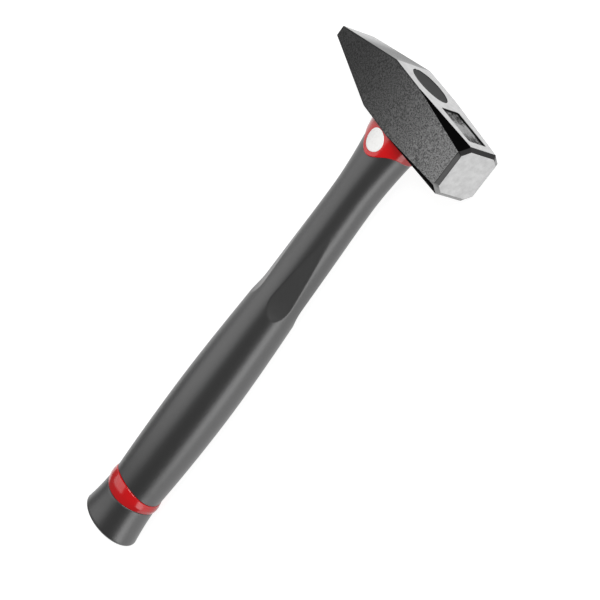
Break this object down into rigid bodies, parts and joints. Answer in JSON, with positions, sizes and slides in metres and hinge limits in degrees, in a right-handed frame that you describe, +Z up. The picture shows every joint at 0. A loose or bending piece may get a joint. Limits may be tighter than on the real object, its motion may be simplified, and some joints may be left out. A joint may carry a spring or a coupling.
{
  "type": "cross-peen engineer's hammer",
  "caption": "Cross-peen engineer's hammer: a forged head with a square bevelled face and a wedge peen, set in resin on a composite rod with a moulded grip, red collar and red end ring.",
  "frame": {"origin": "centre of the hammer's box at its lowest level, where it lies on one cheek", "axes": "+X from the peen to the striking face, +Y along the handle to the head, +Z up, from the lower cheek to the upper one"},
  "size_m": [0.1306, 0.3504, 0.033],
  "materials": {
    "head_steel": "fine-textured dark grey lacquer on forged steel; the top, the peen slopes and the striking face are ground bright",
    "resin": "flat cast surface",
    "core": "plain drawn fibre composite",
    "jacket": "satin moulded surface",
    "trim": "glossy moulded surface",
    "badge": "smooth, plain disc"
  },
  "bodies": {
    "root": {"hammer_head": "head_steel", "eye_resin": "resin", "handle_core": "core", "handle_jacket": "jacket", "head_collar": "trim", "badge": "badge", "butt_ring": "trim", "butt_cap": "jacket"}
  },
  "joints": []
}
